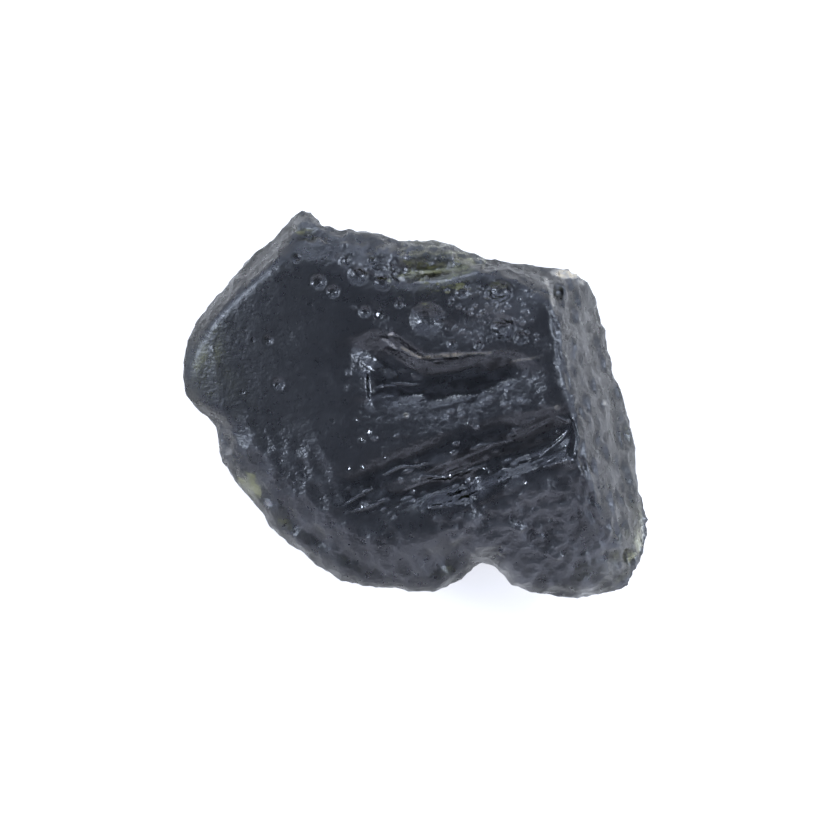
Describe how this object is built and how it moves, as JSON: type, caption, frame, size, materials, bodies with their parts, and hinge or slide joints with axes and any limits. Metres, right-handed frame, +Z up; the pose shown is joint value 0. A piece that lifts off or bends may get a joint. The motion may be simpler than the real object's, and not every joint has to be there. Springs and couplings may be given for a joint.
{
  "type": "moldavite",
  "caption": "Raw piece of moldavite, dark green natural glass: a lumpy slab with bevelled sides, long gouges, round pits and thin see-through rims, resting on a small flat",
  "frame": {"origin": "on the plane the stone rests on, under the middle of its bounding box", "axes": "+Z up, out of the crown; +X along the stone's longest side, towards the grooved right side; +Y towards the far edge, where the knob is"},
  "size_m": [0.026, 0.0216, 0.0102],
  "materials": {
    "tektite_glass": "natural dark olive-green glass with a frosted, etched skin, glossy in the fresh hollows, see-through only where it is thin"
  },
  "bodies": {
    "root": {"moldavite": "tektite_glass"}
  },
  "joints": []
}
